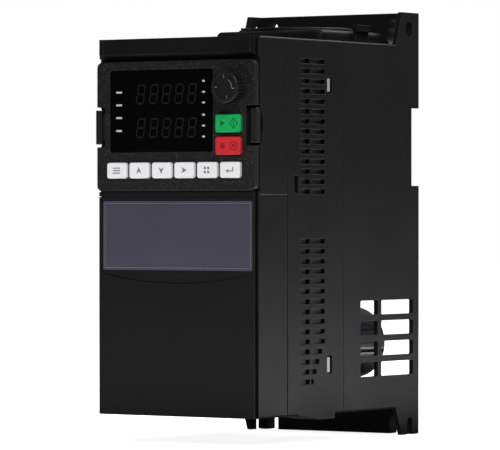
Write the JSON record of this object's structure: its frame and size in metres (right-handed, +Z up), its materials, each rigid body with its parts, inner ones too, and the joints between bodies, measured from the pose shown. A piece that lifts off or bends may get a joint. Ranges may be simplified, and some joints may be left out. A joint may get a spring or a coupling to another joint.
{
  "type": "variable frequency drive",
  "caption": "Wall-mounted motor drive in a louvred black casing, with a removable keypad, speed knob, terminal cover, heat sink duct and top fan.",
  "frame": {"origin": "on the wall plane, at the middle of the lower mounting flange, level with the underside of the casing", "axes": "+X to the right as seen from the front, +Y into the wall, +Z up"},
  "size_m": [0.0932, 0.1536, 0.2095],
  "materials": {
    "housing_black": "fine moulded grain, satin",
    "keypad_black": "coarse moulded grain",
    "latch_black": "smooth satin",
    "window_gloss": "smoked, high gloss",
    "label_violet_grey": "printed film, satin",
    "key_white": "smooth silicone",
    "key_green": "smooth silicone",
    "key_red": "smooth silicone",
    "tab_grey": "fine grain",
    "sink_aluminium": "extruded, bare",
    "screw_steel": "zinc plated",
    "brass": "turned",
    "board_green": "solder mask",
    "chip_black": "moulded epoxy",
    "display_dark": "dark epoxy face",
    "led_body": "clear epoxy",
    "connector_dark": "glass filled",
    "terminal_green": "glass filled",
    "sleeve_black": "shrink sleeve",
    "module_body": "filled epoxy",
    "ribbon_grey": "flat cable",
    "relay_blue": "moulded",
    "ferrite": "sintered",
    "film_red": "moulded box",
    "fan_black": "glass filled"
  },
  "bodies": {
    "housing": {"rear_housing": "housing_black", "heat_sink": "sink_aluminium", "sink_screws": "screw_steel", "middle_case": "housing_black", "case_screws": "screw_steel", "cable_plate": "housing_black", "upper_front_cover": "housing_black", "left_capacitor": "sleeve_black", "right_capacitor": "sleeve_black", "control_tray": "tab_grey", "control_board": "board_green", "control_board_screws": "screw_steel", "control_chips": "chip_black", "keypad_socket": "connector_dark", "control_terminal_block": "terminal_green", "control_terminal_screws": "screw_steel", "power_board": "board_green", "power_board_screws": "screw_steel", "standoffs": "brass", "main_terminal_block": "connector_dark", "main_terminal_screws": "screw_steel", "power_module": "module_body", "module_screws": "screw_steel", "ribbon_connectors": "connector_dark", "ribbon_cable": "ribbon_grey", "inrush_relay": "relay_blue", "supply_transformer": "ferrite", "film_capacitors": "film_red", "current_sensors": "connector_dark"},
    "lower_cover": {"lower_front_cover": "housing_black", "label_plate": "label_violet_grey"},
    "keypad": {"keypad_shell": "keypad_black", "keypad_back": "keypad_black", "display_window": "window_gloss", "upper_display": "display_dark", "lower_display": "display_dark", "indicator_leds": "led_body", "keypad_board": "board_green", "key_switches": "connector_dark", "potentiometer": "connector_dark", "keypad_plug": "connector_dark"},
    "knob": {"knob": "latch_black", "potentiometer_shaft": "screw_steel"},
    "left_latch": {"left_latch": "latch_black"},
    "right_latch": {"right_latch": "latch_black"},
    "fan_unit": {"fan_cover": "housing_black", "fan_frame": "fan_black", "fan_screws": "screw_steel"},
    "fan_rotor": {"fan_rotor": "fan_black"},
    "menu_key": {"menu_key": "key_white"},
    "up_key": {"up_key": "key_white"},
    "down_key": {"down_key": "key_white"},
    "shift_key": {"shift_key": "key_white"},
    "function_key": {"function_key": "key_white"},
    "enter_key": {"enter_key": "key_white"},
    "run_key": {"run_key": "key_green"},
    "stop_key": {"stop_key": "key_red"}
  },
  "joints": [
    {"name": "lower_cover_pull_off", "type": "slide", "parent": "housing", "child": "lower_cover", "axis": [0, -1, 0], "range_m": [0, 0.035]},
    {"name": "keypad_pull_off", "type": "slide", "parent": "housing", "child": "keypad", "axis": [0, -1, 0], "range_m": [0, 0.03]},
    {"name": "knob_turn", "type": "hinge", "parent": "keypad", "child": "knob", "pos_m": [0.0335, -0.15, 0.1558], "axis": [0, -1, 0], "range_deg": [-150, 150]},
    {"name": "left_latch_squeeze", "type": "hinge", "parent": "keypad", "child": "left_latch", "pos_m": [-0.041, -0.1304, 0.1379], "axis": [0, 0, 1], "range_deg": [0, 5.5], "stiffness_Nm_per_rad": 0.4},
    {"name": "right_latch_squeeze", "type": "hinge", "parent": "keypad", "child": "right_latch", "pos_m": [0.041, -0.1304, 0.1379], "axis": [0, 0, -1], "range_deg": [0, 5.5], "stiffness_Nm_per_rad": 0.4},
    {"name": "fan_unit_lift_off", "type": "slide", "parent": "housing", "child": "fan_unit", "axis": [0, 0, 1], "range_m": [0, 0.03]},
    {"name": "fan_spin", "type": "hinge", "parent": "fan_unit", "child": "fan_rotor", "pos_m": [0, -0.0376, 0.177], "axis": [0, 0, 1], "continuous": true},
    {"name": "menu_key_press", "type": "slide", "parent": "keypad", "child": "menu_key", "axis": [0, 1, 0], "range_m": [0, 0.0008], "stiffness_N_per_m": 400},
    {"name": "up_key_press", "type": "slide", "parent": "keypad", "child": "up_key", "axis": [0, 1, 0], "range_m": [0, 0.0008], "stiffness_N_per_m": 400},
    {"name": "down_key_press", "type": "slide", "parent": "keypad", "child": "down_key", "axis": [0, 1, 0], "range_m": [0, 0.0008], "stiffness_N_per_m": 400},
    {"name": "shift_key_press", "type": "slide", "parent": "keypad", "child": "shift_key", "axis": [0, 1, 0], "range_m": [0, 0.0008], "stiffness_N_per_m": 400},
    {"name": "function_key_press", "type": "slide", "parent": "keypad", "child": "function_key", "axis": [0, 1, 0], "range_m": [0, 0.0008], "stiffness_N_per_m": 400},
    {"name": "enter_key_press", "type": "slide", "parent": "keypad", "child": "enter_key", "axis": [0, 1, 0], "range_m": [0, 0.0008], "stiffness_N_per_m": 400},
    {"name": "run_key_press", "type": "slide", "parent": "keypad", "child": "run_key", "axis": [0, 1, 0], "range_m": [0, 0.0008], "stiffness_N_per_m": 400},
    {"name": "stop_key_press", "type": "slide", "parent": "keypad", "child": "stop_key", "axis": [0, 1, 0], "range_m": [0, 0.0008], "stiffness_N_per_m": 400}
  ]
}
